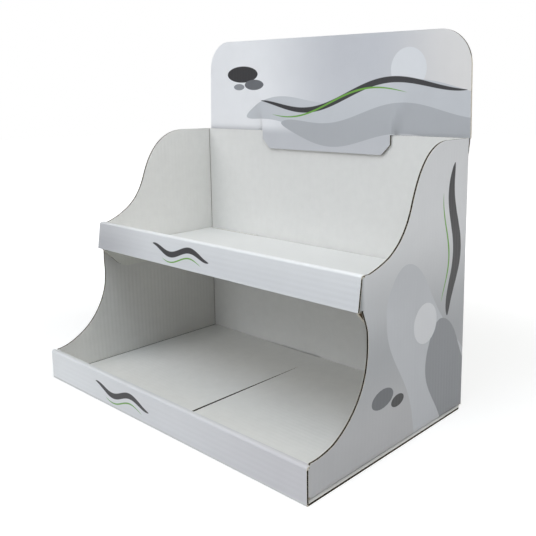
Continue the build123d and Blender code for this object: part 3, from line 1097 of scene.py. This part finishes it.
# %% [markdown]
# ## Header card
# A card with rounded corners, cut slightly out of square. Two legs hang behind the back wall and a wide
# tongue hangs in front of it, so the card is drawn forward above the tongue. It could be bent with a
# lattice, but one formula for the card's surface is enough: panel, tongue and legs are grids on it.
# Flutes run up.

# %% The card's surface
edge_inset = 2.2, 1.5             # how far the card is cut in at its left and right edge
header_left, header_right = header_box[0, 0] + edge_inset[0], header_box[1, 0] - edge_inset[1]
edge_lean = 0.036, -0.016         # lean of the left and right edge to the right, per millimetre of height
tongue_middle, tongue_half = 9.0, 118.0
card_mid = stand_depth + clearance + board / 2
tongue_mid = back_inner - clearance - board / 2
pull_run, pull_fan = 7.0, 0.8     # reach of the tongue's pull to the side, and its growth with height
pull_rise = 90.0                  # reach of the pull above the wall


def eased(share):
    """Falls smoothly from 1 to 0 as the share goes from 0 to 1: half of 1 + cos(pi share)."""
    return (1 + np.cos(np.pi * np.clip(share, 0, 1))) / 2


def card_sheets(x, levels, cells, crushed=(0.0,)):
    """Columns of the card at x, from level to level.

    The card's middle lies behind the wall, less the tongue's pull, which fades with the distance above the
    wall and beside the tongue, in a fan that widens upwards as bent card does. Above the wall each column
    leans by a share between those of the two edges.
    """
    base, normal = upright_board(np.stack([x, x], 1), np.zeros_like(x), levels, cells, -1)
    beside = np.abs(base[..., 0] - tongue_middle) - tongue_half
    above = np.maximum(base[..., 2] - wall_height, 0)
    pull = eased(beside / (pull_run + pull_fan * above)) * eased(above / pull_rise)
    base[..., 1] = card_mid - (card_mid - tongue_mid) * pull
    base[..., 0] += above * np.interp(base[..., 0], [header_left, header_right], edge_lean)
    return corrugated(base, normal, x, crushed=np.asarray(crushed)[:, None])


print(f"card: {header_right - header_left:.1f} mm wide, drawn forward by {card_mid - tongue_mid:.1f} mm")

# %% [markdown]
# ## Panel, tongue and legs
# A die cut the card's outline, so each part of it is a formula for the height where a column ends: arcs
# at the panel's corners, chamfers at the tongue's, a slant at each leg's outer edge. The die also crushed
# the flutes along the panel's side edges.

# %% Panel, tongue and legs
header_top, tongue_low = header_box[1, 2], header_box[0, 2]
header_corner = 43.0
edge_rise = 4.3, -1.5             # how far the top edge stands above its level at the left and right end
edge_crush = 1.5                  # above 1, so that the flutes lie flat for a little way in from an edge
leg_drop, leg_width, leg_inset, leg_taper = 22.0, 60.0, 1.2, 2.0
leg_share = 0.98                  # share of a leg's drop that the slant of its outer edge takes up
least_column = 0.05               # no column is nearer than this to the last
top_cell = 1.0                    # least height of the cells under the top edge
card_middle, card_half = (header_left + header_right) / 2, (header_right - header_left) / 2
tongue_left, tongue_right = tongue_middle - tongue_half, tongue_middle + tongue_half


def columns_between(left, right):
    """Places of columns a flute step apart, with one at each end."""
    return np.append(np.arange(left, right - least_column, flute_step), right)


def panel_sheets():
    """Panel above the wall, its upper corners rounded by quarter circles."""
    x = columns_between(header_left, header_right)
    into_corner = np.maximum(np.abs(x - card_middle) - card_half + header_corner, 0)
    arc = np.sqrt(np.maximum(header_corner ** 2 - into_corner ** 2, 0))
    crown = header_top - header_corner + arc + np.interp(x, [header_left, header_right], edge_rise)
    crushed = np.clip(edge_crush - np.minimum(x - header_left, header_right - x) / crush_run, 0, 1)
    last_row = np.minimum(wall_height + pull_rise, crown - top_cell)
    return card_sheets(x, [wall_height, last_row, crown], [8, 1], crushed)


def tongue_sheets():
    """Tongue with chamfered lower corners, softened by a hyperbola."""
    chamfer, softness = 14.0, 1.0
    x = columns_between(tongue_left, tongue_right)
    inset = chamfer - np.minimum(x - tongue_left, tongue_right - x)
    foot = tongue_low + (inset + np.sqrt(inset ** 2 + softness ** 2)) / 2
    return card_sheets(x, [foot, wall_height], [2])


def leg_sheets(side):
    """A leg whose outer edge draws in evenly towards its lower end."""
    outer = card_half - leg_inset
    x = columns_between(outer - leg_width, outer)
    rise = np.clip((x - outer + leg_taper) / leg_taper, 0, leg_share)
    foot = wall_height - leg_drop * (1 - rise)
    order = slice(None) if side > 0 else slice(None, None, -1)
    return card_sheets(card_middle + side * x[order], [foot[order], wall_height], [1])


make_piece(
    "header_board", "header_card",
    panel_sheets() + tongue_sheets() + leg_sheets(1) + leg_sheets(-1),
    printed_header, white_liner,
)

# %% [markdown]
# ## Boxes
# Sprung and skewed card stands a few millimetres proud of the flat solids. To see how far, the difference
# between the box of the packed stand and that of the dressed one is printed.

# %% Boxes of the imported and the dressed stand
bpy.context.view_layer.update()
proud = np.abs(np.array(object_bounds()) - np.array(cad_box)) / MM
print("dressed box against the packed one, in mm:", proud.round(1).tolist())
